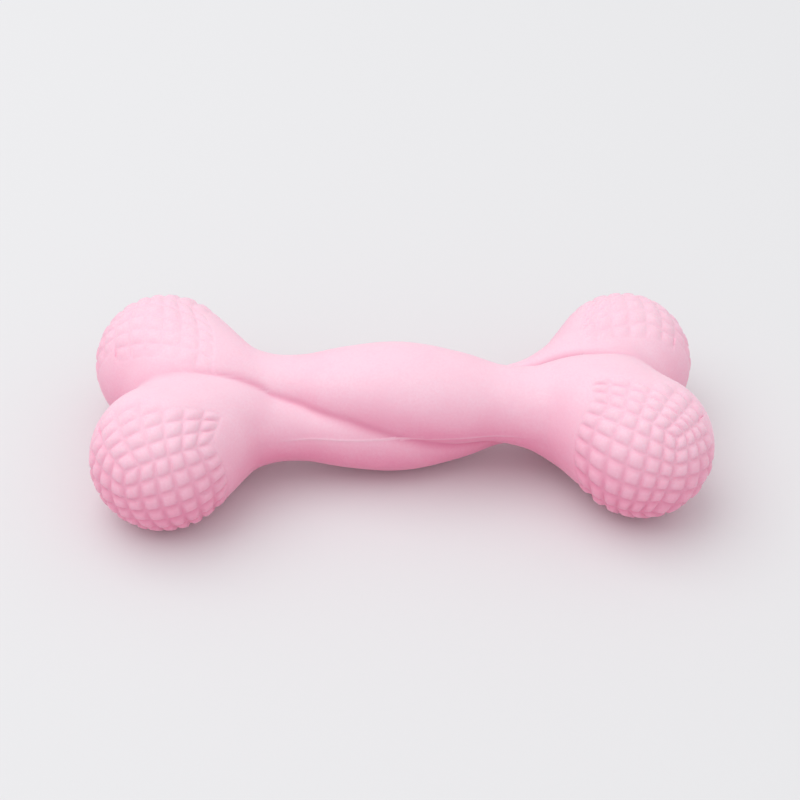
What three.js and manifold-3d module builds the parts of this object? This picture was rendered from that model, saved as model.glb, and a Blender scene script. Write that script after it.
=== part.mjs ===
// A bone-shaped squeaky dog toy in soft rubber. Units are millimetres, +Z is up, +X runs along
// the bone, and the origin is on the floor under its middle.
// Two fat round strands twist nearly half a turn round each other along the shaft and part at
// both ends into four round knobs. The bone is a hollow moulding made of an upper and a lower half,
// bonded at mid height, and it is closed round a squeaker: a blown bulb, and a whistle whose
// barrel holds a thin reed between a seat and a wedge.
import * as THREE from 'three';
import { mergeVertices } from 'three/addons/utils/BufferGeometryUtils.js';
import Module from 'manifold-3d';

const wasm = await Module();
wasm.setup();

// Bone
const overallLength = 150;
const knobRadius = 17.5;
const knobSpread = 33.8; // between the centres of the two knobs at one end
const wall = 4.5; // rubber between the outside and the hollow
const restFlat = 0.3; // how much of the two higher knobs is cut flat where the bone rests
const creaseDepth = 1.6; // how far the groove between the strands is cut in
const creaseWidth = 4.5; // how far apart the strands' skins are where the groove starts

// One strand: its radius, and how far its centre line keeps from the bone's axis
const bellyRadius = 13.5;
const bellyOffset = 3;
const shoulderPlace = 11.5; // from the bone's middle
const shoulderRadius = 12.3;
const shoulderOffset = 2.8;
const waistPlace = 23; // from the bone's middle
const waistRadius = 9.8;
const waistOffset = 3.3;
const neckToKnob = 23; // from the knob's centre, back along the bone
const neckRadius = 11;
const neckOffset = 3.1;
const flareToKnob = 11.5; // from the knob's centre, back along the bone
const flareRadius = 15.3;
const flareOffset = 4.5;
const twistTurn = 176; // degrees from knob to knob, a little short of half a turn
const twistLead = 1.29; // twist rate at the middle, against an even twist from knob to knob

// Squeaker bulb, a closed cylinder with round edges and a mouth for the whistle
const bulbDiameter = 16;
const bulbLength = 34;
const bulbWall = 1;
const bulbEdge = 3.5;
const mouthPlace = 16; // outer face of the mouth, from the bone's middle

// Whistle barrel, a flanged tube through the bulb's mouth
const barrelBore = 6;
const barrelWall = 0.8;
const barrelInside = 11; // length inside the bulb
const barrelOutside = 4; // length outside the bulb, with the flange
const flangeDiameter = 11;
const flangeThickness = 1.2;

// Reed, a thin tongue trapped at its outer end between the seat and the wedge
const reedThickness = 0.3;
const reedWidth = 3;
const reedLength = 10.5;
const rootLength = 3; // between the seat and the wedge
const channelWidth = 1.6; // air channel in the seat, under the tongue
const channelDepth = 1.2;
const channelEnd = 1.5; // solid end of the seat, under the root

// Clearances
const seatGap = 0.3; // rubber round the squeaker
const mouthGap = 0.3; // bulb's mouth round the barrel
const boreGap = 0.3; // barrel's bore round the seat and the wedge
const reedGap = 0.3; // above and below the reed

// Fineness of the surfaces
const strandSteps = 160; // balls along one strand
const skinGrid = { shaftRings: 34, fanRings: 14, sides: 48 };
const hollowGrid = { shaftRings: 22, fanRings: 8, sides: 28 };
const turnedSides = 32;
const edgeSteps = 5;

// Places that follow from these sizes, along X from the bone's middle
const knobPlace = overallLength / 2 - knobRadius;
const forkPlace = knobPlace - flareToKnob / 2; // where the skin starts to fan out round the knobs
const halfTurn = THREE.MathUtils.degToRad(twistTurn / 2);
const knobLift = (knobSpread / 2) * Math.cos(halfTurn); // one knob of a pair up, the other down
const restHeight = knobRadius - knobLift - restFlat; // the bone's axis above the floor
const bulbBack = mouthPlace - bulbLength;
const barrelStart = mouthPlace - barrelInside;
const barrelEnd = mouthPlace + barrelOutside;
const rootEnd = barrelEnd; // the reed's trapped end is level with the barrel's outer end
const rootStart = rootEnd - rootLength;
const reedTip = rootEnd - reedLength;

const rubber = new THREE.MeshStandardMaterial({ color: 0xf4bcd0, roughness: 0.8, metalness: 0 });
const bulbPlastic = new THREE.MeshStandardMaterial({ color: 0xf2f0ea, roughness: 0.5, metalness: 0 });
const whistlePlastic = new THREE.MeshStandardMaterial({ color: 0xfafafa, roughness: 0.3, metalness: 0 });
const reedFilm = new THREE.MeshStandardMaterial({ color: 0xd9dde0, roughness: 0.25, metalness: 0 });

// Turns a closed geometry into a solid that can be joined and cut
function solidOf(geometry) {
  const bare = geometry.clone();
  bare.deleteAttribute('normal');
  bare.deleteAttribute('uv');
  const merged = mergeVertices(bare, 1e-5);
  return new wasm.Manifold(new wasm.Mesh({
    numProp: 3,
    vertProperties: new Float32Array(merged.attributes.position.array),
    triVerts: new Uint32Array(merged.index.array),
  }));
}

// Turns a solid back into a geometry with flat faces
function geometryOf(solid) {
  const mesh = solid.getMesh();
  const geometry = new THREE.BufferGeometry();
  geometry.setAttribute('position', new THREE.BufferAttribute(mesh.vertProperties, 3));
  geometry.setIndex(new THREE.BufferAttribute(mesh.triVerts, 1));
  const flat = geometry.toNonIndexed();
  flat.computeVertexNormals();
  return flat;
}

// A block between two corners
function block(low, high) {
  const size = new THREE.Vector3().subVectors(high, low);
  const middle = new THREE.Vector3().addVectors(low, high).divideScalar(2);
  return new THREE.BoxGeometry(size.x, size.y, size.z).translate(middle.x, middle.y, middle.z);
}

// A body turned on the X axis, from [place, radius] pairs that run along its outside towards -X.
// It starts half a side round, so that no row of its corners lies in the plane of the seam.
function turned(profile) {
  const points = profile.map(([place, radius]) => new THREE.Vector2(radius, -place));
  return new THREE.LatheGeometry(points, turnedSides, Math.PI / turnedSides).rotateZ(Math.PI / 2);
}

// Angle of the first strand round the axis, from its rear left knob over the top to its front right
function twistAngle(place) {
  const share = place / knobPlace;
  return Math.PI / 2 + halfTurn * (twistLead * share + (1 - twistLead) * share ** 3);
}

// The strand's stations from end to end: place along X, distance from the axis, radius
function strandLine() {
  const right = [
    new THREE.Vector3(shoulderPlace, shoulderOffset, shoulderRadius),
    new THREE.Vector3(waistPlace, waistOffset, waistRadius),
    new THREE.Vector3(knobPlace - neckToKnob, neckOffset, neckRadius),
    new THREE.Vector3(knobPlace - flareToKnob, flareOffset, flareRadius),
    new THREE.Vector3(knobPlace, knobSpread / 2, knobRadius),
  ];
  const left = right.map(({ x, y, z }) => new THREE.Vector3(-x, y, z)).reverse();
  const belly = new THREE.Vector3(0, bellyOffset, bellyRadius);
  return new THREE.CatmullRomCurve3([...left, belly, ...right], false, 'catmullrom', 0.5);
}

// A strand as a chain of balls along its twisted centre line, each made smaller by the inset.
// The second strand is the first one turned half a turn round the bone's axis.
function strandBalls(side, inset) {
  return strandLine().getPoints(strandSteps).map(({ x, y, z }) => {
    const angle = twistAngle(x);
    const centre = new THREE.Vector3(x, side * y * Math.cos(angle), side * y * Math.sin(angle));
    return { centre, radius: z - inset };
  });
}

// How far a ray from inside the bone goes before it has left the strand's last ball
function strandReach(origin, direction, balls) {
  let farthest = 0;
  const toCentre = new THREE.Vector3();
  for (const { centre, radius } of balls) {
    toCentre.subVectors(centre, origin);
    const along = toCentre.dot(direction);
    const inside = radius ** 2 - toCentre.lengthSq() + along ** 2;
    if (inside > 0) {
      farthest = Math.max(farthest, along + Math.sqrt(inside));
    }
  }
  return farthest;
}

// Rings of rays from -X to +X: square to the axis along the shaft, and fanned out at the forks
function rayRings({ shaftRings, fanRings }) {
  const shaft = [];
  for (let i = 0; i < shaftRings; i += 1) {
    shaft.push({ place: forkPlace * ((2 * i) / (shaftRings - 1) - 1), tilt: 0 });
  }
  const fan = [];
  for (let i = 1; i < fanRings; i += 1) {
    fan.push({ place: forkPlace, tilt: ((Math.PI / 2) * i) / fanRings });
  }
  const leftFan = fan.map(({ place, tilt }) => ({ place: -place, tilt: -tilt })).reverse();
  return [...leftFan, ...shaft, ...fan];
}

// Corners of the skin, ring by ring. The rings turn with the strands, so that a row of corners
// runs along each crease.
function skinCorners(rings, sides, inset, depth) {
  const strands = [strandBalls(1, inset), strandBalls(-1, inset)];
  const corner = (place, tilt, turn) => {
    const across = Math.cos(tilt);
    const origin = new THREE.Vector3(place, 0, 0);
    const direction = new THREE.Vector3(Math.sin(tilt), across * Math.cos(turn), across * Math.sin(turn));
    const [first, second] = strands.map((balls) => strandReach(origin, direction, balls));
    const nearCrease = Math.max(0, 1 - Math.abs(first - second) / creaseWidth);
    const cut = depth * across ** 4 * nearCrease ** 2;
    return origin.addScaledVector(direction, Math.max(first, second) - cut);
  };
  const corners = [];
  for (const { place, tilt } of rings) {
    for (let j = 0; j < sides; j += 1) {
      corners.push(corner(place, tilt, twistAngle(place) + (2 * Math.PI * j) / sides));
    }
  }
  return corners;
}

// The closed skin round both strands, set in from the outside by the inset
function boneSkin(grid, inset, depth) {
  const { sides } = grid;
  const rings = rayRings(grid);
  const corners = skinCorners(rings, sides, inset, depth);
  const lastRing = (rings.length - 1) * sides;
  const faces = [];
  for (let j = 0; j < sides; j += 1) {
    const next = (j + 1) % sides;
    for (let here = 0; here < lastRing; here += sides) {
      const ahead = here + sides;
      faces.push(here + j, here + next, ahead + j);
      faces.push(here + next, ahead + next, ahead + j);
    }
  }
  // The small end rings in the notches between the knobs are closed by strips straight across
  for (let j = 0; j < sides / 2 - 1; j += 1) {
    const far = sides - 1 - j;
    faces.push(j, far, j + 1, far, far - 1, j + 1);
    faces.push(lastRing + j, lastRing + j + 1, lastRing + far);
    faces.push(lastRing + far, lastRing + j + 1, lastRing + far - 1);
  }
  const geometry = new THREE.BufferGeometry().setFromPoints(corners);
  geometry.setIndex(faces);
  return geometry;
}

// A quarter circle that rounds the edge between an end face and the side of a turned body
function roundEdge(endPlace, inward, radius, edge) {
  const points = [];
  for (let i = 0; i <= edgeSteps; i += 1) {
    const angle = ((Math.PI / 2) * i) / edgeSteps;
    const place = endPlace + inward * edge * (1 - Math.cos(angle));
    points.push([place, radius - edge + edge * Math.sin(angle)]);
  }
  return points;
}

// Outline of the bulb from its front face over its side to the middle of its back face
function bulbOutline(front, back, radius, edge) {
  return [...roundEdge(front, -1, radius, edge), ...roundEdge(back, 1, radius, edge).reverse(), [back, 0]];
}

const bulbRadius = bulbDiameter / 2;
const barrelRadius = barrelBore / 2 + barrelWall;
const flangeRadius = flangeDiameter / 2;

function squeakerBulb() {
  const mouth = barrelRadius + mouthGap;
  const lip = mouthPlace - bulbWall;
  const outer = bulbOutline(mouthPlace, bulbBack, bulbRadius, bulbEdge);
  const inner = bulbOutline(lip, bulbBack + bulbWall, bulbRadius - bulbWall, bulbEdge - bulbWall);
  return turned([...inner.reverse(), [lip, mouth], [mouthPlace, mouth], ...outer]);
}

function whistleBarrel() {
  const bore = barrelBore / 2;
  const flangeEnd = mouthPlace + flangeThickness;
  return turned([
    [barrelEnd, bore],
    [barrelEnd, barrelRadius],
    [flangeEnd, barrelRadius],
    [flangeEnd, flangeRadius],
    [mouthPlace, flangeRadius],
    [mouthPlace, barrelRadius],
    [barrelStart, barrelRadius],
    [barrelStart, bore],
    [barrelEnd, bore],
  ]);
}

// The room that the rubber leaves for the squeaker
function squeakerRoom() {
  const barrel = barrelRadius + seatGap;
  const flange = flangeRadius + seatGap;
  const flangeEnd = mouthPlace + flangeThickness + seatGap;
  const front = mouthPlace + seatGap;
  return turned([
    [barrelEnd + seatGap, 0],
    [barrelEnd + seatGap, barrel],
    [flangeEnd, barrel],
    [flangeEnd, flange],
    [front, flange],
    ...bulbOutline(front, bulbBack - seatGap, bulbRadius + seatGap, bulbEdge),
  ]);
}

// The slice between two heights of a rod that fits the barrel's bore
function boreSlice(start, end, low, high) {
  const radius = barrelBore / 2 - boreGap;
  const rod = turned([[end, 0], [end, radius], [start, radius], [start, 0]]);
  const slab = block(
    new THREE.Vector3(start - barrelBore, -barrelBore, low),
    new THREE.Vector3(end + barrelBore, barrelBore, high),
  );
  return solidOf(rod).intersect(solidOf(slab));
}

const reedRoom = reedThickness / 2 + reedGap; // from the reed's middle to the seat and the wedge

function reedSeat() {
  const channel = block(
    new THREE.Vector3(reedTip - barrelBore, -channelWidth / 2, -reedRoom - channelDepth),
    new THREE.Vector3(rootEnd - channelEnd, channelWidth / 2, 0),
  );
  return geometryOf(boreSlice(reedTip, rootEnd, -barrelBore, -reedRoom).subtract(solidOf(channel)));
}

function reedWedge() {
  return geometryOf(boreSlice(rootStart, rootEnd, reedRoom, barrelBore));
}

// The reed: square at its root, with a round tip
function reedTongue() {
  const half = reedWidth / 2;
  const outline = new THREE.Shape();
  outline.moveTo(rootEnd, -half);
  outline.lineTo(rootEnd, half);
  outline.absarc(reedTip + half, 0, half, Math.PI / 2, (3 * Math.PI) / 2, false);
  const tongue = new THREE.ExtrudeGeometry(outline, {
    depth: reedThickness,
    bevelEnabled: false,
    curveSegments: 2 * edgeSteps,
  });
  return tongue.translate(0, 0, -reedThickness / 2);
}

// The moulding with its hollow and its room for the squeaker, and the two halves of it
const moulding = solidOf(boneSkin(skinGrid, 0, creaseDepth))
  .subtract(solidOf(boneSkin(hollowGrid, wall, 0)))
  .subtract(solidOf(squeakerRoom()));

function shellHalf(bottom, top) {
  const low = new THREE.Vector3(-overallLength, -overallLength, bottom);
  const high = new THREE.Vector3(overallLength, overallLength, top);
  return geometryOf(moulding.intersect(solidOf(block(low, high))));
}

const bone = new THREE.Group();
bone.position.z = restHeight;

function addPart(name, geometry, material) {
  const mesh = new THREE.Mesh(geometry, material);
  mesh.name = name;
  bone.add(mesh);
}

addPart('upper_half_shell', shellHalf(0, overallLength), rubber);
addPart('lower_half_shell', shellHalf(-restHeight, 0), rubber);
addPart('squeaker_bulb', squeakerBulb(), bulbPlastic);
addPart('whistle_barrel', whistleBarrel(), whistlePlastic);
addPart('reed_seat', reedSeat(), whistlePlastic);
addPart('reed_wedge', reedWedge(), whistlePlastic);
addPart('reed', reedTongue(), reedFilm);

export default bone;
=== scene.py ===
"""Looks of a bone-shaped squeaky dog toy in soft pink rubber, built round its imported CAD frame.

Two fat strands twist nearly half a turn round each other along the shaft and part into four round
knobs, which carry a grid of soft studs. The rubber is a hollow moulding of two halves that are
bonded at mid height, and a squeaker sits in its hollow. Sizes are in millimetres on the bone's own
axis, and the meshes are put in at metres, lifted to the height at which the bone rests.
"""

import logging
import math
from dataclasses import dataclass
from enum import Enum

import bmesh
import bpy
import numpy as np
from mathutils import Euler, Matrix, Vector


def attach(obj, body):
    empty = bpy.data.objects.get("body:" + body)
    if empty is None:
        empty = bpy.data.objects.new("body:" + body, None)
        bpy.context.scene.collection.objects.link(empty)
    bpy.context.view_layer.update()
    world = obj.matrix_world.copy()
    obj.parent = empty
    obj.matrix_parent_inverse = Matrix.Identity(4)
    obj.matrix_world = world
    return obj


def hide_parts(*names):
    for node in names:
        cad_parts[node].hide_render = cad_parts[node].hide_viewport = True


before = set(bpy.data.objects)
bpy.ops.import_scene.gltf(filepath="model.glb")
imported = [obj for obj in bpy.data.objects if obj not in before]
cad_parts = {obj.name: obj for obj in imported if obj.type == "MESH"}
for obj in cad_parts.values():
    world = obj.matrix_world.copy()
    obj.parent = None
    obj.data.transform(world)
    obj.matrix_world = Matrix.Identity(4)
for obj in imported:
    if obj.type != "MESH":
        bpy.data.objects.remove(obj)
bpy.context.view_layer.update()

LOG = logging.getLogger("bone")
MM = 0.001  # m
WELD = 1e-6  # m, points nearer to each other than this are one
ON_PLANE = 1e-7  # m, points nearer to a cutting plane than this lie on it


class Half(Enum):
    """The two halves of the moulding, by the side of the seam that they are on."""

    UPPER = 1
    LOWER = -1


def linear(colour: str) -> tuple[float, float, float, float]:
    """Turns an sRGB hex colour into the linear colour that a shader takes.

    Args:
        colour: six hex digits after a hash sign.

    Returns:
        Red, green, blue and alpha, linear, from 0 to 1.
    """
    parts = [int(colour[i : i + 2], 16) / 255 for i in (1, 3, 5)]
    red, green, blue = (
        c / 12.92 if c <= 0.04045 else ((c + 0.055) / 1.055) ** 2.4 for c in parts
    )
    return (red, green, blue, 1.0)


def smooth_step(low: float, high: float, value: np.ndarray) -> np.ndarray:
    """Rises from 0 at low to 1 at high, level at both ends: 3t squared less 2t cubed."""
    t = np.clip((value - low) / (high - low), 0.0, 1.0)
    return t * t * (3 - 2 * t)


def add_node(
    tree: bpy.types.NodeTree,
    kind: str,
    sockets: dict[str | int, object] | None = None,
    **settings: object,
) -> bpy.types.Node:
    """Adds a shader node with its settings, its values and its links.

    Args:
        tree: the node tree of a material or of the world.
        kind: the node's type name.
        sockets: for each input, by name or number, a value or another node's output to link.
        settings: properties of the node itself.

    Returns:
        The node.
    """
    node = tree.nodes.new(kind)
    for name, value in settings.items():
        setattr(node, name, value)
    for name, value in (sockets or {}).items():
        if isinstance(value, bpy.types.NodeSocket):
            tree.links.new(value, node.inputs[name])
        else:
            node.inputs[name].default_value = value
    return node


def read_points(mesh: bpy.types.Mesh) -> tuple[np.ndarray, np.ndarray]:
    """Reads where a mesh's vertices are and which way they face.

    Args:
        mesh: any mesh.

    Returns:
        Points and unit normals, with a row for each vertex.
    """
    points = np.empty(len(mesh.vertices) * 3, np.float32)
    normals = np.empty_like(points)
    mesh.vertices.foreach_get("co", points)
    mesh.vertex_normals.foreach_get("vector", normals)
    return points.reshape(-1, 3), normals.reshape(-1, 3)


def read_share(mesh: bpy.types.Mesh, name: str) -> np.ndarray:
    """Reads an attribute that has a number for each vertex.

    Args:
        mesh: the mesh that has it.
        name: the attribute's name.

    Returns:
        The numbers, in the vertices' order.
    """
    values = np.empty(len(mesh.vertices), np.float32)
    mesh.attributes[name].data.foreach_get("value", values)
    return values


def write_share(mesh: bpy.types.Mesh, name: str, values: np.ndarray) -> None:
    """Writes a number for each vertex into an attribute, which is added where it is new.

    Args:
        mesh: the mesh to write to.
        name: the attribute's name.
        values: the numbers, in the vertices' order.
    """
    if name not in mesh.attributes:
        mesh.attributes.new(name, "FLOAT", "POINT")
    mesh.attributes[name].data.foreach_set("value", values.astype(np.float32))


@dataclass(frozen=True)
class Strands:
    """The two strands of the bone, each a chain of balls along a twisted centre line. Lengths are
    in millimetres."""

    knob_place: float = 57.5  # from the middle to the knobs' centres, along the bone
    fork_place: float = 51.75  # from the middle to where rays fan out over the knobs
    turn: float = 176.0  # degrees, from knob to knob
    lead: float = 1.29  # how much faster than on average a strand turns at the middle
    steps: int = 320  # balls in a strand, less one
    batch: int = 20000  # rays worked out at once
    # Place along the bone, distance from its axis and radius, from the middle to the knob
    stations: tuple[tuple[float, float, float], ...] = (
        (0.0, 3.0, 13.5),
        (11.5, 2.8, 12.3),
        (23.0, 3.3, 9.8),
        (34.5, 3.1, 11.0),
        (46.0, 4.5, 15.3),
        (57.5, 16.9, 17.5),
    )

    def angle(self, place: np.ndarray) -> np.ndarray:
        """Angle of the first strand round the axis: a quarter turn at the middle, and from there
        half of the whole turn by lead times s plus (1 - lead) times s cubed, where s is the share
        of the way to the knob.

        Args:
            place: places along the bone.

        Returns:
            Angles in radians.
        """
        share = place / self.knob_place
        eased = self.lead * share + (1 - self.lead) * share**3
        return math.pi / 2 + math.radians(self.turn / 2) * eased

    def line(self) -> np.ndarray:
        """Runs a curve through the stations from the left knob to the right one: a cubic from each
        to the next, with half of the step between a station's neighbours as its slope there.

        Returns:
            Place, distance and radius at even steps of the curve.
        """
        right = np.array(self.stations)
        points = np.vstack([right[:0:-1] * [-1, 1, 1], right])
        ends = np.vstack([2 * points[0] - points[1], points, 2 * points[-1] - points[-2]])
        spans = len(points) - 1
        t = np.linspace(0, spans, self.steps + 1)
        k = np.minimum(t.astype(int), spans - 1)
        w = (t - k)[:, None]
        before, start, end, after = ends[k], ends[k + 1], ends[k + 2], ends[k + 3]
        leave = (end - before) / 2
        arrive = (after - start) / 2
        cubic = 2 * start - 2 * end + leave + arrive
        square = -3 * start + 3 * end - 2 * leave - arrive
        return cubic * w**3 + square * w**2 + leave * w + start

    def balls(self, inset: float) -> tuple[np.ndarray, np.ndarray]:
        """Sets the balls of the first strand on its twisted line; the second is half a turn round.

        Args:
            inset: how much smaller than the strand the balls are.

        Returns:
            The balls' centres and their radii.
        """
        place, offset, radius = self.line().T
        angle = self.angle(place)
        centres = np.stack([place, offset * np.cos(angle), offset * np.sin(angle)], axis=1)
        return centres, radius - inset

    def reach(
        self, place: np.ndarray, ray: np.ndarray, inset: float
    ) -> tuple[np.ndarray, np.ndarray]:
        """Measures how far rays from the axis go before they leave each strand: the greatest of
        along + root of (radius squared - distance squared + along squared) over its balls.

        Args:
            place: where on the axis each ray starts.
            ray: unit directions.
            inset: how much smaller than the strand the balls are.

        Returns:
            The distances for the first strand and for the second.
        """
        centres, radii = self.balls(inset)
        pieces = max(1, len(place) // self.batch)
        found = []
        for side in (centres, centres * [1, -1, -1]):
            spare = radii**2 - (side**2).sum(axis=1)
            exits = []
            for o, d in zip(np.array_split(place, pieces), np.array_split(ray, pieces)):
                along = d @ side.T - (o * d[:, 0])[:, None]
                inside = spare + 2 * o[:, None] * side[:, 0] - (o**2)[:, None] + along**2
                exit_at = along + np.sqrt(np.maximum(inside, 0))
                exits.append(np.where(inside > 0, exit_at, 0).max(axis=1))
            found.append(np.concatenate(exits))
        return found[0], found[1]

    def knob(self, end: int) -> np.ndarray:
        """Finds the centre of a front knob, on the strand's line at its end.

        Args:
            end: -1 for the left knob, 1 for the right one.

        Returns:
            The centre.
        """
        angle = float(self.angle(np.array(self.knob_place)))
        level, height = math.cos(angle), end * math.sin(angle)
        offset = self.stations[-1][1]
        return np.array([end * self.knob_place, offset * level, offset * height])


@dataclass(frozen=True)
class Waffle:
    """The studs of a knob, as on the front of the bone. They lie as on a ball blown up from a cube:
    six studs by six on the face that looks outward, rows of them on the faces above and below it,
    and two thirds of the face at the tip, with three studs round each corner. Rows and columns are
    counted in studs from the middle of the outward face, and six of them make a quarter turn."""

    tip: tuple[float, float, float]  # direction of the face at the tip
    top: tuple[float, float, float]  # direction of the face above, squared to the tip's
    shift: tuple[float, float, float] = (0.0, 0.0, 0.0)  # mm, from the knob's centre to the grid's
    row_bend: tuple[float, float] = (0.0, 0.0)  # half faces: everywhere, and more to the tip
    # The same for columns: everywhere, more with height, and more to the tip
    column_bend: tuple[float, float, float] = (0.0, 0.0, 0.0)
    bend_end: float = 2.0  # half faces from the outward middle, where bends stop growing
    far_edge: float = 3.0  # half faces from the outward middle, past which lines would cross
    edge: int = 3  # studs from the middle of a face to its edge
    rows: tuple[int, int] = (-7, 8)
    columns: tuple[int, int] = (-3, 7)
    margin: float = 0.5  # studs by which the grid goes on past its last rows and columns
    neck_row: int = 6  # the highest row on the neck's side
    row_rise: tuple[float, float] = (-1.0, 2.0)  # columns over which that rises to the last row
    lines: int = 8  # grid lines from groove to groove
    crowd: float = 0.14  # how strongly the grid lines crowd into the grooves
    width: float = 0.13  # half a groove, as a share of the pitch
    walls: int = 6  # the power that sets how steep a groove's walls are
    depth: float = 0.6  # mm, of the grooves
    crown: float = 0.22  # mm, by which a stud's middle is raised
    strength: float = 1.0  # less where the studs came out of the tool flatter
    neck: float = 0.0  # mm, how far the grid follows the neck toward the axis
    neck_start: float = 0.5  # half faces from the outward middle, where it begins to follow
    neck_power: float = 1.5
    # Studs past the grid's four ends, over which the grooves come in or go out
    neck_fade: tuple[float, float] = (-0.25, 0.5)
    tip_fade: tuple[float, float] = (-0.5, 0.3)
    under_fade: tuple[float, float] = (-0.3, 0.7)
    top_fade: tuple[float, float] = (-0.7, 0.3)

    def counts(self, first: float, last: float) -> np.ndarray:
        """Counts studs in even steps, drawn together at the grooves: less a share of their sine."""
        step = np.linspace(first, last, round((last - first) * self.lines) + 1)
        return step - self.crowd * np.sin(2 * math.pi * step)

    def lattice(self) -> tuple[np.ndarray, np.ndarray, np.ndarray]:
        """Lays out the grid lines. Past the edge of the tip's face, lines from the faces above and
        below would have nowhere to go, so they close up along that edge, and their points coincide.

        Returns:
            Row and column of each point, by ring from the neck to the tip and by line from below,
            and whether it is closed up.
        """
        line = self.counts(self.rows[0] - self.margin, self.rows[1] + self.margin)
        ring = self.counts(self.columns[0] - self.margin, self.edge)[:, None]
        over = self.counts(0, self.columns[1] - self.edge + self.margin)[1:, None]
        past = np.abs(line) - self.edge
        closed = np.sign(line) * (self.edge + np.maximum(past, over))
        row = np.concatenate([line + 0 * ring, np.where(past > 0, closed, line)])
        column = np.concatenate([ring + 0 * line, np.where(past > 0, self.edge, self.edge + over)])
        free = np.zeros((len(ring), len(line)), bool)
        shut = np.concatenate([free, (past > 0) & (past <= over)])
        return row, column, shut

    def directions(self, row: np.ndarray, column: np.ndarray) -> np.ndarray:
        """Turns rows and columns into directions from the grid's centre. Both become angles, with
        bends: a row's grows with the square of its height less one, so that the outward face's
        upper and lower edges stay, and a column's with its distance from the tip's edge. The
        direction is the sum of outward, upward and tipward, each by its angle's tangent on that
        face of the cube.

        Args:
            row: rows from the middle, upward.
            column: columns from the middle, toward the tip.

        Returns:
            Unit vectors in the last axis.
        """
        high, wide = row / self.edge, np.minimum(column, self.edge) / self.edge
        over = 1 + np.maximum(column - self.edge, 0) / self.edge
        lift, lean = self.row_bend
        level, slant, swell = self.column_bend
        broad = np.maximum(wide, -1)
        half_face = math.pi / 4
        squared = np.clip(high, -self.bend_end, self.bend_end) ** 2 - 1
        rise = high + squared * (lift + lean * broad)
        rise = np.clip(rise, -self.far_edge, self.far_edge) * half_face
        climb = np.clip(high, -1, self.bend_end)
        side = wide + (broad - 1) * (level + slant * climb + swell * broad)
        cap = over + (np.minimum(over, self.bend_end) ** 2 - 1) * (lift + lean) * high
        swing = np.where(over > 1, np.minimum(cap, self.far_edge), side) * half_face
        end = swing > half_face
        longer = np.maximum(np.abs(np.cos(rise)), np.abs(np.sin(rise)))
        along = np.where(end, 1.0, np.tan(np.minimum(swing, half_face)))
        upright = np.tan(np.clip(rise, -half_face, half_face))
        upward = np.where(end, upright, np.sin(rise) / longer)
        sidelong = np.tan(2 * half_face - np.maximum(swing, half_face))
        outward = np.where(end, sidelong, np.cos(rise) / longer)
        tip = np.array(self.tip) / np.linalg.norm(self.tip)
        top = np.array(self.top) - np.dot(self.top, tip) * tip
        top /= np.linalg.norm(top)
        out = np.cross(tip, top)
        out *= -np.sign(out[1])
        ray = along[..., None] * tip + upward[..., None] * top + outward[..., None] * out
        return ray / np.linalg.norm(ray, axis=-1)[..., None]

    def patch(self, centre: np.ndarray, radius: float) -> np.ndarray:
        """Lays the grid lines over the knob: the centre, shifted, plus the radius times a
        direction. Toward the neck, the centre follows the strand to the axis, by a power of the
        column's way to the neck.

        Args:
            centre: the knob's centre.
            radius: the knob's radius.

        Returns:
            Points by ring and line.
        """
        row, column, _ = self.lattice()
        inward = centre * [0.0, -1.0, -1.0]
        way = np.maximum(0, self.neck_start - column / self.edge)
        follow = self.neck * way**self.neck_power
        start = centre + np.array(self.shift) + follow[..., None] * inward / np.linalg.norm(inward)
        return start + radius * self.directions(row, column)

    def grooves(self) -> tuple[np.ndarray, np.ndarray]:
        """Works out how deep each point of the patch lies: a groove is 1 / (1 + (d / width)^walls)
        at a distance d from its middle, and a row and a column join as 1 - (1 - row)(1 - column).
        Each fades out where the grid ends, and the groove along the closed-up edge fades out where
        the rows end. A stud's crown is the product of its heights by row and by column, each
        1 - (1 - 2d)^2.

        Returns:
            The share of the groove's depth, and the share of the stud's crown.
        """
        row, column, shut = self.lattice()
        row_off, column_off = np.abs(row - np.round(row)), np.abs(column - np.round(column))
        across = 1 / (1 + (column_off / self.width) ** self.walls)
        along = 1 / (1 + (row_off / self.width) ** self.walls)
        neck, tip = self.columns
        under, top = self.rows
        top = self.neck_row + (top - self.neck_row) * smooth_step(*self.row_rise, column)
        inside = smooth_step(*self.neck_fade, column - neck)
        inside = inside * (1 - smooth_step(*self.tip_fade, column - tip))
        inside = inside * smooth_step(*self.under_fade, row - under)
        inside = inside * (1 - smooth_step(*self.top_fade, row - top))
        swell = (1 - (1 - 2 * column_off) ** 2) * (1 - (1 - 2 * row_off) ** 2)
        ridge = np.where(np.abs(row) > self.edge - 0.5, column, 0.0)
        ridge = np.where(shut, np.abs(row), ridge)
        last = np.where(row > 0, top, -under)
        closing = 1 - smooth_step(*self.top_fade, ridge - last) * (column >= self.edge)
        groove = np.where(shut, 1.0, 1 - (1 - along) * (1 - across))
        groove = groove * np.where(shut, 1.0, inside) * closing
        return groove * self.strength, swell * inside * self.strength


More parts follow.
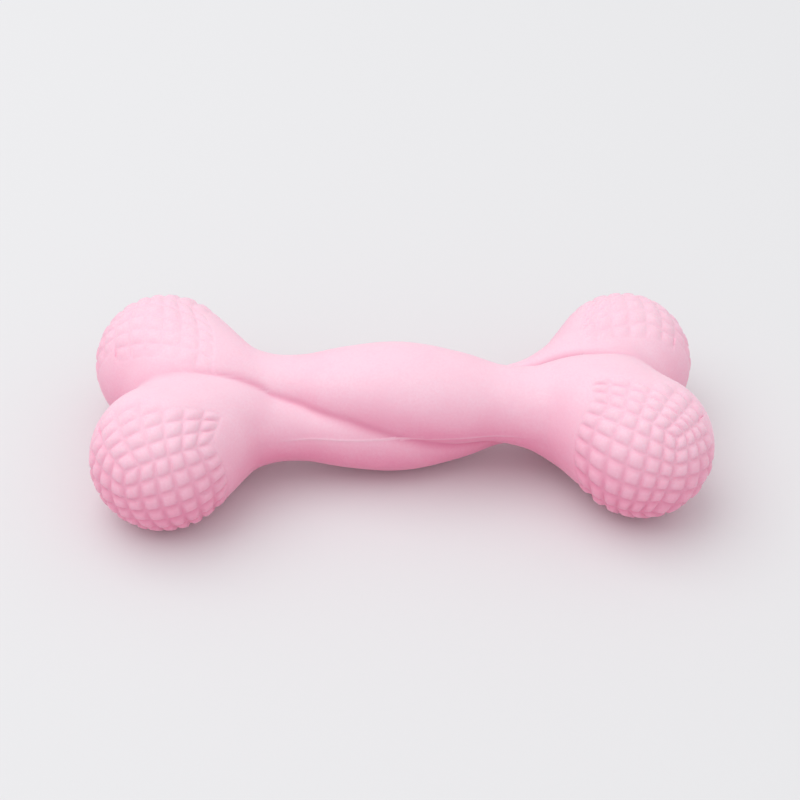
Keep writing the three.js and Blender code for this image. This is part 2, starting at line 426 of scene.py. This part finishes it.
@dataclass(frozen=True)
class RubberFinish:
    """Soft natural rubber, moulded in a blasted tool and powdered, in random blotches. It has no
    shine.
    Its upper side is painted paler, as painted light from above, and its underside a deeper pink,
    as painted shade."""

    name: str = "powdered_moulded_rubber"
    # the pink with no powder, left on the underside as painted shade
    bare: str = "#f091b3"
    # pale pink of the thicker powder and of painted light on the upper side
    dusted_and_lit: str = "#fcd0e1"
    shade_pink: str = "#dc6f98"  # painted shade in the grooves, along the crease and in the valleys
    seam_highlight: str = "#fde2ec"  # painted highlight along the seam's raised line
    haze: str = "#fff2f7"  # the powder, seen edge on
    roughness: float = 0.62
    gloss_spread: float = 0.08  # by which the roughness strays either way
    ior: float = 1.52
    blotch: float = 9.0  # mm, where the powder lies thicker
    speck: float = 0.6  # mm, coarser than the powder's grains, so that it shows
    dust_range: tuple[float, float] = (0.12, 0.42)  # blotch times speck, from thin to thick
    dust_spread: float = 0.1  # by which the powder's share strays either way
    least: float = 0.1  # share of a groove or of the seam at which its colour sets in
    groove_most: float = 0.5  # share of the painted shade in a full groove
    seam_most: float = 0.25  # share of the painted highlight on the full seam
    grain: float = 0.35  # mm, the blasted tool's pits, drawn coarser than they are
    grain_height: float = 0.012  # mm
    bleed: tuple[float, float, float] = (1.0, 0.35, 0.45)  # mm, how far red, green and blue spread

    def material(self) -> bpy.types.Material:
        """Builds the rubber's node tree. The painted light share, give or take the noise of the
        powdered blotches, mixes the bare pink, the painted shade below, with the pale pink of
        painted light and of the thicker powder above. Its groove share mixes in painted shade where
        it is above zero, and a painted highlight where it is below.

        Returns:
            The material.
        """
        material = bpy.data.materials.new(self.name)
        material.use_nodes = True
        tree = material.node_tree
        tree.nodes.clear()
        place = add_node(tree, "ShaderNodeTexCoord").outputs["Object"]
        blotch = add_node(
            tree,
            "ShaderNodeTexNoise",
            {"Vector": place, "Scale": 1 / (self.blotch * MM), "Detail": 3.0, "Roughness": 0.55},
        )
        speck = add_node(
            tree,
            "ShaderNodeTexNoise",
            {"Vector": place, "Scale": 1 / (self.speck * MM), "Detail": 2.0, "Roughness": 0.6},
        )
        dust = add_node(
            tree,
            "ShaderNodeMath",
            {0: blotch.outputs["Fac"], 1: speck.outputs["Fac"]},
            operation="MULTIPLY",
        )
        spread = add_node(
            tree,
            "ShaderNodeMapRange",
            {
                "Value": dust.outputs["Value"],
                "From Min": self.dust_range[0],
                "From Max": self.dust_range[1],
                "To Min": -self.dust_spread,
                "To Max": self.dust_spread,
            },
        )
        painted_light = add_node(tree, "ShaderNodeAttribute", attribute_name="painted_light")
        # share of the pale pink: painted light from above, plus the powder's random blotches
        thick = add_node(
            tree,
            "ShaderNodeMath",
            {0: painted_light.outputs["Fac"], 1: spread.outputs["Result"]},
            operation="ADD",
            use_clamp=True,
        )
        dust_and_light = add_node(
            tree,
            "ShaderNodeMix",
            {"Factor": thick.outputs["Value"], "A": linear(self.bare), "B": linear(self.dusted_and_lit)},
            data_type="RGBA",
        )
        groove = add_node(tree, "ShaderNodeAttribute", attribute_name="groove")
        share = add_node(
            tree,
            "ShaderNodeMapRange",
            {
                "Value": groove.outputs["Fac"],
                "From Min": self.least,
                "From Max": 1.0,
                "To Max": self.groove_most,
            },
        )
        # painted shade in the grooves, along the crease and in the valleys
        with_painted_shade = add_node(
            tree,
            "ShaderNodeMix",
            {
                "Factor": share.outputs["Result"],
                "A": dust_and_light.outputs["Result"],
                "B": linear(self.shade_pink),
            },
            data_type="RGBA",
        )
        # painted highlight along the seam's raised line
        seam_lit_share = add_node(
            tree,
            "ShaderNodeMapRange",
            {
                "Value": groove.outputs["Fac"],
                "From Min": -self.least,
                "From Max": -1.0,
                "To Max": self.seam_most,
            },
        )
        colour = add_node(
            tree,
            "ShaderNodeMix",
            {
                "Factor": seam_lit_share.outputs["Result"],
                "A": with_painted_shade.outputs["Result"],
                "B": linear(self.seam_highlight),
            },
            data_type="RGBA",
        )
        grain = add_node(
            tree,
            "ShaderNodeTexNoise",
            {"Vector": place, "Scale": 1 / (self.grain * MM), "Detail": 2.0, "Roughness": 0.6},
        )
        bump = add_node(
            tree,
            "ShaderNodeBump",
            {"Height": grain.outputs["Fac"], "Strength": 0.6, "Distance": self.grain_height * MM},
        )
        gloss = add_node(
            tree,
            "ShaderNodeMapRange",
            {
                "Value": speck.outputs["Fac"],
                "To Min": self.roughness - self.gloss_spread,
                "To Max": self.roughness + self.gloss_spread,
            },
        )
        shader = add_node(
            tree,
            "ShaderNodeBsdfPrincipled",
            {
                "Base Color": colour.outputs["Result"],
                "Roughness": gloss.outputs["Result"],
                "IOR": self.ior,
                "Normal": bump.outputs["Normal"],
                "Subsurface Weight": 0.1,
                "Subsurface Radius": self.bleed,
                "Subsurface Scale": MM,
                "Sheen Weight": 0.3,
                "Sheen Roughness": 0.35,
                "Sheen Tint": linear(self.haze),
            },
        )
        add_node(tree, "ShaderNodeOutputMaterial", {"Surface": shader.outputs[0]})
        return material


@dataclass(frozen=True)
class PlasticFinish:
    """A thin plastic piece of the squeaker, a little uneven in colour and gloss from moulding."""

    name: str
    colour: str
    thick: str  # where the wall is thicker
    roughness: float
    ior: float
    flow: tuple[float, float, float]  # mm, the size of the moulding's flow marks along X, Y and Z
    clear: float = 0.0  # share of the light that passes through
    gloss_spread: float = 0.06  # by which the roughness strays either way
    mark_height: float = 0.02  # mm

    def material(self) -> bpy.types.Material:
        """Builds the plastic's node tree: stretched noise mixes the two colours and sets gloss and
        relief.

        Returns:
            The material.
        """
        material = bpy.data.materials.new(self.name)
        material.use_nodes = True
        tree = material.node_tree
        tree.nodes.clear()
        place = add_node(tree, "ShaderNodeTexCoord").outputs["Object"]
        turned = add_node(
            tree,
            "ShaderNodeMapping",
            {"Vector": place, "Scale": tuple(1 / (size * MM) for size in self.flow)},
        )
        marks = add_node(
            tree,
            "ShaderNodeTexNoise",
            {"Vector": turned.outputs["Vector"], "Scale": 1.0, "Detail": 3.0, "Roughness": 0.5},
        )
        colour = add_node(
            tree,
            "ShaderNodeMix",
            {"Factor": marks.outputs["Fac"], "A": linear(self.colour), "B": linear(self.thick)},
            data_type="RGBA",
        )
        gloss = add_node(
            tree,
            "ShaderNodeMapRange",
            {
                "Value": marks.outputs["Fac"],
                "To Min": self.roughness - self.gloss_spread,
                "To Max": self.roughness + self.gloss_spread,
            },
        )
        bump = add_node(
            tree,
            "ShaderNodeBump",
            {
                "Height": marks.outputs["Fac"],
                "Strength": 0.3,
                "Distance": self.mark_height * MM,
            },
        )
        shader = add_node(
            tree,
            "ShaderNodeBsdfPrincipled",
            {
                "Base Color": colour.outputs["Result"],
                "Roughness": gloss.outputs["Result"],
                "IOR": self.ior,
                "Normal": bump.outputs["Normal"],
                "Transmission Weight": self.clear,
            },
        )
        add_node(tree, "ShaderNodeOutputMaterial", {"Surface": shader.outputs[0]})
        return material


@dataclass
class RubberBone:
    """The moulding: its studded outer skin, its hollow and its two halves. Lengths are in
    millimetres."""

    strands: Strands = Strands()
    # Studs of the left and right knobs; the rear ones are given as turned to the front
    front: tuple[Waffle, Waffle] = (
        Waffle(
            tip=(-0.97, -0.089, -0.227),
            top=(-0.23, 0.025, 0.973),
            shift=(3.76, -0.61, -1.15),
            row_bend=(-0.032, 0.006),
            column_bend=(-0.05, 0.065, 0.019),
        ),
        Waffle(
            tip=(0.85, -0.511, -0.126),
            top=(0.237, 0.16, 0.958),
            shift=(-0.98, 1.21, 0.82),
            row_bend=(-0.105, -0.022),
            column_bend=(-0.173, 0.096, -0.169),
        ),
    )
    rear: tuple[Waffle, Waffle] = (
        Waffle(
            tip=(-1.0, 0.0, 0.0),
            top=(0.0, -0.306, 0.952),
            rows=(-8, 6),
            strength=0.65,
            neck=5.4,
        ),
        Waffle(
            tip=(1.0, 0.0, 0.0),
            top=(0.0, 0.0, 1.0),
            row_bend=(0.04, -0.112),
            rows=(-8, 6),
            strength=0.65,
            neck=5.9,
        ),
    )
    finish: RubberFinish = RubberFinish()
    rest_height: float = 16.6102  # from the floor to the axis
    wall: float = 4.5
    crease_depth: float = 1.6
    crease_width: float = 4.5
    crease_soft: float = 0.8  # how round the crease's bottom is
    line_depth: float = 0.45
    line_width: float = 0.8
    line_fade: tuple[float, float] = (40.0, 60.0)  # from the middle
    valley_fill: float = 1.4
    valley_width: float = 8.0
    valley_rise: tuple[float, float] = (46.0, 60.0)  # from the middle, where crease turns to valley
    valley_line: float = 0.65  # share of the thin line's depth and of its painted shade along the valley
    valley_lines: int = 48  # grid lines from the studs of one knob to the next one's
    shaft_rings: int = 130
    notch_rings: int = 40
    notch_crowd: float = 1.4  # how strongly the rings crowd at the studs
    notch_place: float = 14.0  # past the fork, the point on the axis that the rings close in on
    notch_gap: float = 1.2  # steps from the last ring to that point
    notch_fall: int = 4  # the power by which grooves fall off past the studs
    seam_height: float = 0.15
    seam_width: float = 0.5
    seam_fade: tuple[float, float] = (22.0, 34.0)  # from the middle, where its line is worn flat
    seam_wear: float = 0.9  # share of the line that is worn off past that
    seam_pale: float = 0.3  # share of the line from which it gets the painted highlight
    seam_snap: float = 0.002  # points nearer to the seam's plane are put on it
    rim_angle: float = 60.0  # degrees, sharper edges than this are shaded sharp
    painted_light_tilt: tuple[float, float] = (-0.6, 1.1)  # upward share of the normal, from the bare pink's painted shade to full painted light
    painted_light_held: float = 0.2  # share of painted light on every side of the knobs, standing in for light thrown up by the floor
    painted_light_knob: tuple[float, float] = (30.0, 48.0)  # from the middle, where the knobs set in
    groove_shade_base: float = 1.05  # painted shade in a groove where no painted light lies
    groove_shade_lit_drop: float = 0.8  # by which full painted light takes that painted shade down
    room_radius: float = 8.3
    room_edge: float = 3.5
    room_ends: tuple[float, float] = (-18.3, 16.3)
    hollow_rings: int = 90
    hollow_fans: int = 14
    hollow_sides: int = 72

    def settle(self, points: np.ndarray) -> tuple[np.ndarray, np.ndarray]:
        """Moves points along rays from the axis onto the outer skin. A ray starts square to its
        point, or at the fork for points past it, and ends at the farther strand: half of the sum of
        both distances and of their spread, which is the root of their difference squared plus the
        crease's softness squared. Where the spread is small, the skin is cut in along the shaft's
        crease and filled in the valley past the fork, each by the square of one less the spread
        over its width. The crease's thin line is one over the square of one plus the difference
        over its width squared, and the valley goes on with a share of it.

        Args:
            points: an array of points in its last axis.

        Returns:
            The points on the skin, in the same shape, and the share of the thin line at each.
        """
        flat = points.reshape(-1, 3)
        fork = self.strands.fork_place
        place = np.clip(flat[:, 0], -fork, fork)
        ray = flat - np.stack([place, 0 * place, 0 * place], axis=1)
        ray /= np.linalg.norm(ray, axis=1)[:, None]
        first, second = self.strands.reach(place, ray, 0.0)
        spread = np.hypot(first - second, self.crease_soft)
        middle = np.abs(flat[:, 0])
        opened = smooth_step(*self.valley_rise, middle)
        crease = (1 - opened) * np.maximum(0, 1 - spread / self.crease_width) ** 2
        valley = opened * np.maximum(0, 1 - spread / self.valley_width) ** 2
        far = (first + second + spread) / 2
        far = far - self.crease_depth * crease + self.valley_fill * valley
        skin = ray * far[:, None]
        skin[:, 0] += place
        line = 1 - smooth_step(*self.line_fade, middle)
        line = line / (1 + ((first - second) / self.line_width) ** 2) ** 2
        line = line + self.valley_line * valley
        return skin.reshape(points.shape), line.reshape(points.shape[:-1])

    def half_grid(
        self, own: tuple[Waffle, Waffle], other: tuple[Waffle, Waffle]
    ) -> tuple[np.ndarray, ...]:
        """Lays half of the grid over the front of the bone, from the left notch to the right one.
        The grid lines follow the grooves over the knobs, and between and past them they run
        straight from edge to edge, before all of them are moved onto the skin. A groove at the edge
        of the studs fades into the notch, as one over one plus a power of the distance over its
        width.

        Args:
            own: the studs of this half's left and right knobs.
            other: the studs of the other half's knobs, whose first line this half runs up to.

        Returns:
            Points by ring and line, and the shares of groove, crown and thin line at each.
        """
        radius = self.strands.stations[-1][2]
        share = np.arange(1, self.valley_lines + 1)[None, :, None] / (self.valley_lines + 1)
        step = np.arange(1, self.notch_rings + 1) / (self.notch_rings + self.notch_gap)
        fan = 1 - step[:, None, None] ** self.notch_crowd
        ends = []
        for waffle, facing, end in zip(own, other, (-1, 1)):
            centre = self.strands.knob(end)
            patch = waffle.patch(centre, radius)
            across = facing.patch(centre, radius)[:, :1] * [1, -1, -1]
            patch = np.concatenate([patch, patch[:, -1:] * (1 - share) + across * share], axis=1)
            notch = np.array([end * (self.strands.fork_place + self.notch_place), 0.0, 0.0])
            tip = (patch[-1:] - notch) * fan + notch
            beyond = ((0, 0), (0, self.valley_lines))
            groove, crown = (np.pad(part, beyond) for part in waffle.grooves())
            width = waffle.width * radius * math.pi / (4 * waffle.edge)
            away = np.linalg.norm(tip - patch[-1:], axis=2) / width
            fade = groove[-1:] / (1 + away**self.notch_fall)
            whole = np.concatenate([patch, tip])
            groove, crown = np.concatenate([groove, fade]), np.concatenate([crown, 0 * fade])
            ends.append([part[::end] for part in (whole, groove, crown)])
        left, right = ends
        run = np.arange(1, self.shaft_rings + 1)[:, None, None] / (self.shaft_rings + 1)
        shaft = left[0][-1:] * (1 - run) + right[0][:1] * run
        bare = np.zeros(shaft.shape[:2])
        points, groove, crown = map(np.concatenate, zip(left, (shaft, bare, bare), right))
        skin, line = self.settle(points)
        return skin, groove, crown, line

    def outer_skin(self) -> bpy.types.Mesh:
        """Builds the closed outer skin with its studs. The rear half of the grid is laid over the
        front and turned half a turn round the axis, and the relief moves points along the skin's
        normal: out by the crown, and in by the groove and the thin line. Painted light grows with
        how far the normal looks up, as if lit from above, and the painted shade of the grooves is
        less where painted light lies.

        Returns:
            A mesh in metres on the bone's axis, with the share of painted shade in grooves, along
            the crease and in the valleys, and the share of painted light, as its attributes groove
            and painted_light.
        """
        halves = self.half_grid(self.front, self.rear), self.half_grid(self.rear, self.front)
        front, rear = halves[0][0], halves[1][0] * [1, -1, -1]
        names = ("groove", "crown", "line")
        shares = {
            name: np.concatenate([half[k] for half in halves], axis=1)
            for k, name in enumerate(names, start=1)
        }
        mesh = self.closed_grid("outer", np.concatenate([front, rear], axis=1), shares)
        place, normal = read_points(mesh)
        groove, crown, line = (read_share(mesh, name) for name in names)
        studs = self.front[0]
        relief = studs.crown * crown - studs.depth * groove - self.line_depth * line
        place = place + normal * (relief * MM)[:, None]
        height = np.maximum(place[:, 2], -self.rest_height * MM)
        place[:, 2] = np.where(np.abs(height) < self.seam_snap * MM, 0.0, height)
        mesh.vertices.foreach_set("co", place.ravel())
        # painted light: paler the more the normal looks up, and paler all round on the knobs
        painted_light = smooth_step(*self.painted_light_tilt, normal[:, 2])
        painted_knob_light = self.painted_light_held * smooth_step(*self.painted_light_knob, np.abs(place[:, 0]) / MM)
        painted_light = painted_light + painted_knob_light * (1 - painted_light)
        # painted shade: deeper pink in grooves, less under painted light, and along the crease and
        # valleys
        painted_shade = np.maximum(groove * (self.groove_shade_base - self.groove_shade_lit_drop * painted_light), line)
        write_share(mesh, "groove", painted_shade)
        write_share(mesh, "painted_light", painted_light)
        for name in ("crown", "line"):
            mesh.attributes.remove(mesh.attributes[name])
        return mesh

    def hollow_skin(self) -> bpy.types.Mesh:
        """Builds the closed skin of the hollow: rays square to the axis along the shaft and fanned
        out at the forks, each as far as the farther strand's inside or the squeaker's room, a
        cylinder with rounded edges.

        Returns:
            A mesh in metres on the bone's axis.
        """
        fork = self.strands.fork_place
        lean = np.linspace(0, math.pi / 2, self.hollow_fans + 1)[1:-1]
        shaft = np.linspace(-fork, fork, self.hollow_rings)
        place = np.concatenate([np.full(lean.shape, -fork), shaft, np.full(lean.shape, fork)])
        tilt = np.concatenate([-lean[::-1], np.zeros(self.hollow_rings), lean])
        turn = (np.arange(self.hollow_sides) + 0.5) * 2 * math.pi / self.hollow_sides
        ray = np.stack(
            np.broadcast_arrays(
                np.sin(tilt)[:, None],
                np.cos(tilt)[:, None] * np.cos(turn),
                np.cos(tilt)[:, None] * np.sin(turn),
            ),
            axis=-1,
        ).reshape(-1, 3)
        start = np.repeat(place, self.hollow_sides)
        first, second = self.strands.reach(start, ray, self.wall)
        back, front = self.room_ends
        past = np.maximum(back + self.room_edge - start, start - front + self.room_edge)
        past = np.maximum(0, past)
        arc = np.sqrt(np.maximum(0, self.room_edge**2 - past**2))
        room = np.where(past <= self.room_edge, self.room_radius - self.room_edge + arc, 0.0)
        far = np.maximum(np.maximum(first, second), room)
        points = ray * far[:, None]
        points[:, 0] += start
        points = points.reshape(len(place), self.hollow_sides, 3)
        return self.closed_grid("hollow", points, {"groove": np.zeros(points.shape[:2])})

    @staticmethod
    def closed_grid(
        name: str, points: np.ndarray, shares: dict[str, np.ndarray]
    ) -> bpy.types.Mesh:
        """Joins rings of points into a closed mesh, with a tip on the axis at each end, as far out
        as the end ring is on average, and welds the points that coincide.

        Args:
            name: the mesh's name.
            points: points in mm by ring and line; the lines close round.
            shares: values at each point, by the name of their attribute.

        Returns:
            The mesh, in metres, with its faces outward.
        """
        rings, lines = points.shape[:2]
        index = np.arange(rings * lines).reshape(rings, lines)
        ahead = np.roll(index, -1, axis=1)
        quads = np.stack([index[:-1], ahead[:-1], ahead[1:], index[1:]], axis=-1).reshape(-1, 4)
        last = rings * lines
        near = np.stack([ahead[0], index[0], np.full(lines, last)], axis=1)
        far = np.stack([index[-1], ahead[-1], np.full(lines, last + 1)], axis=1)
        tips = np.zeros((2, 3))
        tips[:, 0] = [-1.0, 1.0] * np.abs(points[[0, -1], :, 0]).mean(axis=1)
        mesh = bpy.data.meshes.new(name)
        corners = np.concatenate([points.reshape(-1, 3), tips]) * MM
        mesh.from_pydata(corners.tolist(), [], quads.tolist() + near.tolist() + far.tolist())
        for label, share in shares.items():
            write_share(mesh, label, np.concatenate([share.ravel(), [0.0, 0.0]]))
        shell = bmesh.new()
        shell.from_mesh(mesh)
        bmesh.ops.remove_doubles(shell, verts=shell.verts[:], dist=WELD)
        bmesh.ops.recalc_face_normals(shell, faces=shell.faces[:])
        shell.to_mesh(mesh)
        shell.free()
        return mesh

    @staticmethod
    def cut_half(mesh: bpy.types.Mesh, half: Half, name: str) -> bpy.types.Mesh:
        """Keeps the part of a closed skin on one side of the seam.

        Args:
            mesh: the whole skin.
            half: the side to keep.
            name: the new mesh's name.

        Returns:
            The half skin as a new mesh, open at the seam.
        """
        shell = bmesh.new()
        shell.from_mesh(mesh)
        bmesh.ops.bisect_plane(
            shell,
            geom=shell.verts[:] + shell.edges[:] + shell.faces[:],
            dist=ON_PLANE,
            plane_co=(0, 0, 0),
            plane_no=(0, 0, half.value),
            clear_inner=True,
        )
        kept = bpy.data.meshes.new(name)
        shell.to_mesh(kept)
        shell.free()
        return kept

    def seam_line(self, mesh: bpy.types.Mesh) -> None:
        """Raises the thin line along the seam: points move out along their level normal by the
        seam's height times the square of one less their share of its width. Its groove share turns
        negative, which shows as a painted highlight along the line.

        Args:
            mesh: half of the outer skin, open at the seam.
        """
        points, normals = read_points(mesh)
        level = normals * [1.0, 1.0, 0.0]
        level /= np.maximum(np.linalg.norm(level, axis=1), WELD)[:, None]
        near = np.maximum(0.0, 1 - np.abs(points[:, 2]) / (self.seam_width * MM))
        near *= 1 - self.seam_wear * smooth_step(*self.seam_fade, np.abs(points[:, 0]) / MM)
        points = points + level * (near**2 * self.seam_height * MM)[:, None]
        mesh.vertices.foreach_set("co", points.astype(np.float32).ravel())
        groove = read_share(mesh, "groove")
        write_share(mesh, "groove", np.where(near > self.seam_pale, -near, groove))

    def build_half(
        self, outer: bpy.types.Mesh, hollow: bpy.types.Mesh, half: Half
    ) -> bpy.types.Object:
        """Makes one half of the moulding: its outer skin, its hollow, and the flat rim between.

        Args:
            outer: the whole outer skin.
            hollow: the whole skin of the hollow.
            half: which half to make.

        Returns:
            The finished object, without its material.
        """
        name = "rubber_" + half.name.lower() + "_half"
        mesh = self.cut_half(outer, half, name)
        self.seam_line(mesh)
        inside = self.cut_half(hollow, half, name + "_hollow")
        shell = bmesh.new()
        shell.from_mesh(mesh)
        shell.from_mesh(inside)
        bpy.data.meshes.remove(inside)
        rim = [edge for edge in shell.edges if edge.is_boundary]
        bmesh.ops.triangle_fill(shell, use_beauty=True, edges=rim, normal=(0, 0, -half.value))
        bmesh.ops.recalc_face_normals(shell, faces=shell.faces[:])
        shell.transform(Matrix.Translation((0, 0, self.rest_height * MM)))
        shell.to_mesh(mesh)
        open_edges = sum(not edge.is_manifold for edge in shell.edges)
        shell.free()
        mesh.shade_smooth()
        mesh.set_sharp_from_angle(angle=math.radians(self.rim_angle))
        piece = bpy.data.objects.new(name, mesh)
        bpy.context.scene.collection.objects.link(piece)
        LOG.info("%s: %d faces, %d open edges", name, len(mesh.polygons), open_edges)
        return piece

    def build(self) -> list[bpy.types.Object]:
        """Builds both halves, dresses them and ties them to the CAD frame.

        Returns:
            The two pieces.
        """
        outer, hollow = self.outer_skin(), self.hollow_skin()
        material = self.finish.material()
        pieces = []
        for half in Half:
            piece = self.build_half(outer, hollow, half)
            piece.data.materials.append(material)
            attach(piece, "bone")
            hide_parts(half.name.lower() + "_half_shell")
            pieces.append(piece)
        bpy.data.meshes.remove(outer)
        bpy.data.meshes.remove(hollow)
        return pieces


@dataclass
class Squeaker:
    """The squeaker inside the hollow, whose CAD pieces keep their shapes."""

    # Low-density polyethylene, blown: milky, waxy, with soft streaks along the blow
    bulb: PlasticFinish = PlasticFinish(
        name="blown_polyethylene",
        colour="#f3f1ea",
        thick="#e2ded2",
        roughness=0.45,
        ior=1.51,
        flow=(9.0, 3.0, 3.0),
        clear=0.15,
    )
    # Polystyrene, injection moulded: bright white, glossier, with faint flow marks
    whistle: PlasticFinish = PlasticFinish(
        name="moulded_polystyrene",
        colour="#fbfbfa",
        thick="#efeeec",
        roughness=0.3,
        ior=1.59,
        flow=(5.0, 1.5, 1.5),
    )
    # Polyester film, drawn and slit: cool, nearly clear, with fine lines along the draw
    reed: PlasticFinish = PlasticFinish(
        name="slit_polyester_film",
        colour="#dfe4e8",
        thick="#cfd6dc",
        roughness=0.22,
        ior=1.64,
        flow=(6.0, 0.4, 0.4),
        clear=0.35,
    )

    def dress(self) -> None:
        """Gives each CAD piece of the squeaker its finish."""
        plan = {
            self.bulb: ("squeaker_bulb",),
            self.whistle: ("whistle_barrel", "reed_seat", "reed_wedge"),
            self.reed: ("reed",),
        }
        for finish, nodes in plan.items():
            material = finish.material()
            for name in nodes:
                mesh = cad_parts[name].data
                mesh.materials.clear()
                mesh.materials.append(material)
                LOG.info("%s: %s", name, finish.name)


@dataclass
class Studio:
    """The pale floor, the soft light and the camera at the photograph's angle."""

    elevation: float = 39.7  # degrees, as are yaw and roll
    yaw: float = 4.93
    roll: float = 2.28
    distance: float = 508.64  # mm, from the camera to its aim
    lens: float = 92.93  # mm, as are the sensor's width and the aim's height
    sensor: float = 36.0
    shift: tuple[float, float] = (0.0003, 0.0076)  # shares of the picture's width
    near: float = 0.01  # m, nearer things aren't drawn
    aim_height: float = 16.61
    floor_size: float = 6.0  # m
    floor_gap: float = 1e-4  # m, below the bone
    floor_colour: str = "#e3e3e5"
    back_colour: str = "#f0f0f2"
    world_strength: float = 0.8
    key_power: float = 7.6  # W
    key_size: tuple[float, float] = (1.6, 1.2)  # m
    key_place: tuple[float, float, float] = (-0.5, 0.1, 1.25)  # m

    def build(self) -> None:
        """Sets up the floor, the light, the camera and the view."""
        self.build_floor()
        self.build_light()
        self.build_camera()
        bpy.context.scene.view_settings.view_transform = "Standard"

    def build_floor(self) -> None:
        """Lays a plain pale floor just under the bone."""
        side, height = self.floor_size / 2, -self.floor_gap
        mesh = bpy.data.meshes.new("floor")
        outline = ((-side, -side), (side, -side), (side, side), (-side, side))
        mesh.from_pydata([(x, y, height) for x, y in outline], [], [(0, 1, 2, 3)])
        material = bpy.data.materials.new("floor_paper")
        material.use_nodes = True
        tree = material.node_tree
        tree.nodes.clear()
        shader = add_node(
            tree,
            "ShaderNodeBsdfPrincipled",
            {
                "Base Color": linear(self.floor_colour),
                "Roughness": 0.9,
                "Specular IOR Level": 0.0,
            },
        )
        add_node(tree, "ShaderNodeOutputMaterial", {"Surface": shader.outputs[0]})
        mesh.materials.append(material)
        floor = bpy.data.objects.new("floor", mesh)
        bpy.context.scene.collection.objects.link(floor)

    def build_light(self) -> None:
        """Lights the bone from a wide soft box, above it and to its left, and from all round."""
        world = bpy.data.worlds.new("studio")
        bpy.context.scene.world = world
        world.use_nodes = True
        tree = world.node_tree
        tree.nodes.clear()
        ray = add_node(tree, "ShaderNodeLightPath")
        around = add_node(
            tree,
            "ShaderNodeBackground",
            {"Color": linear("#ffffff"), "Strength": self.world_strength},
        )
        seen = add_node(
            tree,
            "ShaderNodeBackground",
            {"Color": linear(self.back_colour), "Strength": 1.0},
        )
        pick = add_node(
            tree,
            "ShaderNodeMixShader",
            {0: ray.outputs["Is Camera Ray"], 1: around.outputs[0], 2: seen.outputs[0]},
        )
        add_node(tree, "ShaderNodeOutputWorld", {"Surface": pick.outputs[0]})
        lamp = bpy.data.lights.new("soft_box", "AREA")
        lamp.shape = "RECTANGLE"
        lamp.size, lamp.size_y = self.key_size
        lamp.energy = self.key_power
        key = bpy.data.objects.new("soft_box", lamp)
        key.location = self.key_place
        aim = -Vector(self.key_place)
        key.rotation_euler = aim.to_track_quat("-Z", "Y").to_euler()
        bpy.context.scene.collection.objects.link(key)

    def build_camera(self) -> None:
        """Puts the camera where the photograph was taken from: round the bone by the yaw, up by the
        elevation, and turned about its own view by the roll."""
        up, side = math.radians(self.elevation), math.radians(self.yaw)
        level = self.distance * math.cos(up)
        place = Vector(
            (
                -level * math.sin(side),
                -level * math.cos(side),
                self.aim_height + self.distance * math.sin(up),
            )
        )
        aim = Vector((0, 0, self.aim_height)) - place
        turn = aim.to_track_quat("-Z", "Y") @ Euler((0, 0, math.radians(self.roll))).to_quaternion()
        lens = bpy.data.cameras.new("camera")
        lens.lens = self.lens
        lens.sensor_width = self.sensor
        lens.shift_x, lens.shift_y = self.shift
        lens.clip_start = self.near
        camera = bpy.data.objects.new("camera", lens)
        camera.location = place * MM
        camera.rotation_euler = turn.to_euler()
        bpy.context.scene.collection.objects.link(camera)
        bpy.context.scene.camera = camera


def main() -> None:
    """Builds the bone, dresses the squeaker and sets up the studio."""
    logging.basicConfig(level=logging.INFO, format="%(name)s %(message)s")
    Studio().build()
    for piece in RubberBone().build():
        LOG.info("built %s", piece.name)
    Squeaker().dress()


if __name__ == "__main__":
    main()
